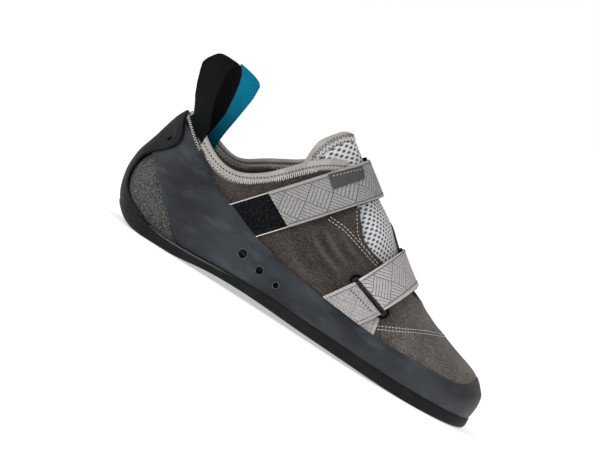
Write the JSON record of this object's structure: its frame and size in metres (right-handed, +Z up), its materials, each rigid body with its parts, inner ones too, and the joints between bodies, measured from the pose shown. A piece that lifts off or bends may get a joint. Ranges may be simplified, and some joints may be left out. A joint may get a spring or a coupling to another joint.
{
  "type": "climbing shoe",
  "caption": "Low-cut climbing shoe for the right foot: suede upper with a rubber rand and heel sling, flat rubber sole, mesh tongue, hook-and-loop straps and heel pull loops.",
  "frame": {"origin": "middle of the shoe's footprint box, on the floor", "axes": "+X towards the toe, +Y towards the medial side, +Z up"},
  "size_m": [0.273, 0.0946, 0.1283],
  "materials": {
    "sole_rubber": "matt black rubber",
    "rand_rubber": "matt slate rubber",
    "suede": "napped suede",
    "binding": "soft knit binding",
    "mesh": "padded mesh",
    "strap": "printed webbing",
    "loop_pile": "loop pile",
    "tab_rubber": "matt moulded rubber",
    "ring": "gloss black",
    "black_webbing": "woven webbing",
    "teal_webbing": "woven webbing",
    "insole": "felted board"
  },
  "bodies": {
    "root": {"outsole": "sole_rubber", "insole": "insole", "upper": "suede", "rand": "rand_rubber", "collar_binding": "binding", "tongue": "mesh", "tongue_binding": "binding", "upper_strap": "strap", "loop_patch": "loop_pile", "strap_tab": "tab_rubber", "lower_strap": "strap", "anchor_tab": "strap", "anchor_base": "strap", "strap_ring": "ring", "heel_loop_lateral": "black_webbing", "heel_loop_medial": "teal_webbing"}
  },
  "joints": []
}
